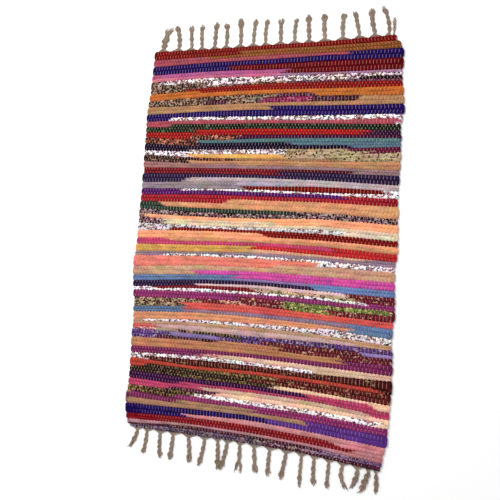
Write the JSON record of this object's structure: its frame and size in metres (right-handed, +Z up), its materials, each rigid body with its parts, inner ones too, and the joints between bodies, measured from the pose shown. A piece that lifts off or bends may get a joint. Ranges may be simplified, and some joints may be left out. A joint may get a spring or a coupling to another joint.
{
  "type": "rag dhurrie rug",
  "caption": "Small flat-woven cotton rag rug with raised weft ribs across its width and gathered warp tassels along both short ends.",
  "frame": {"origin": "middle of the rug's underside, tassels included", "axes": "+X across the rug along its picks, +Y along its length towards the far end, +Z up from the floor"},
  "size_m": [0.6282, 1.026, 0.0065],
  "materials": {
    "rag_cloth": "matt cotton rag weave in many colours",
    "warp_cotton": "matt natural cotton cord"
  },
  "bodies": {
    "root": {"woven_body": "rag_cloth", "far_fringe": "warp_cotton", "near_fringe": "warp_cotton"}
  },
  "joints": []
}
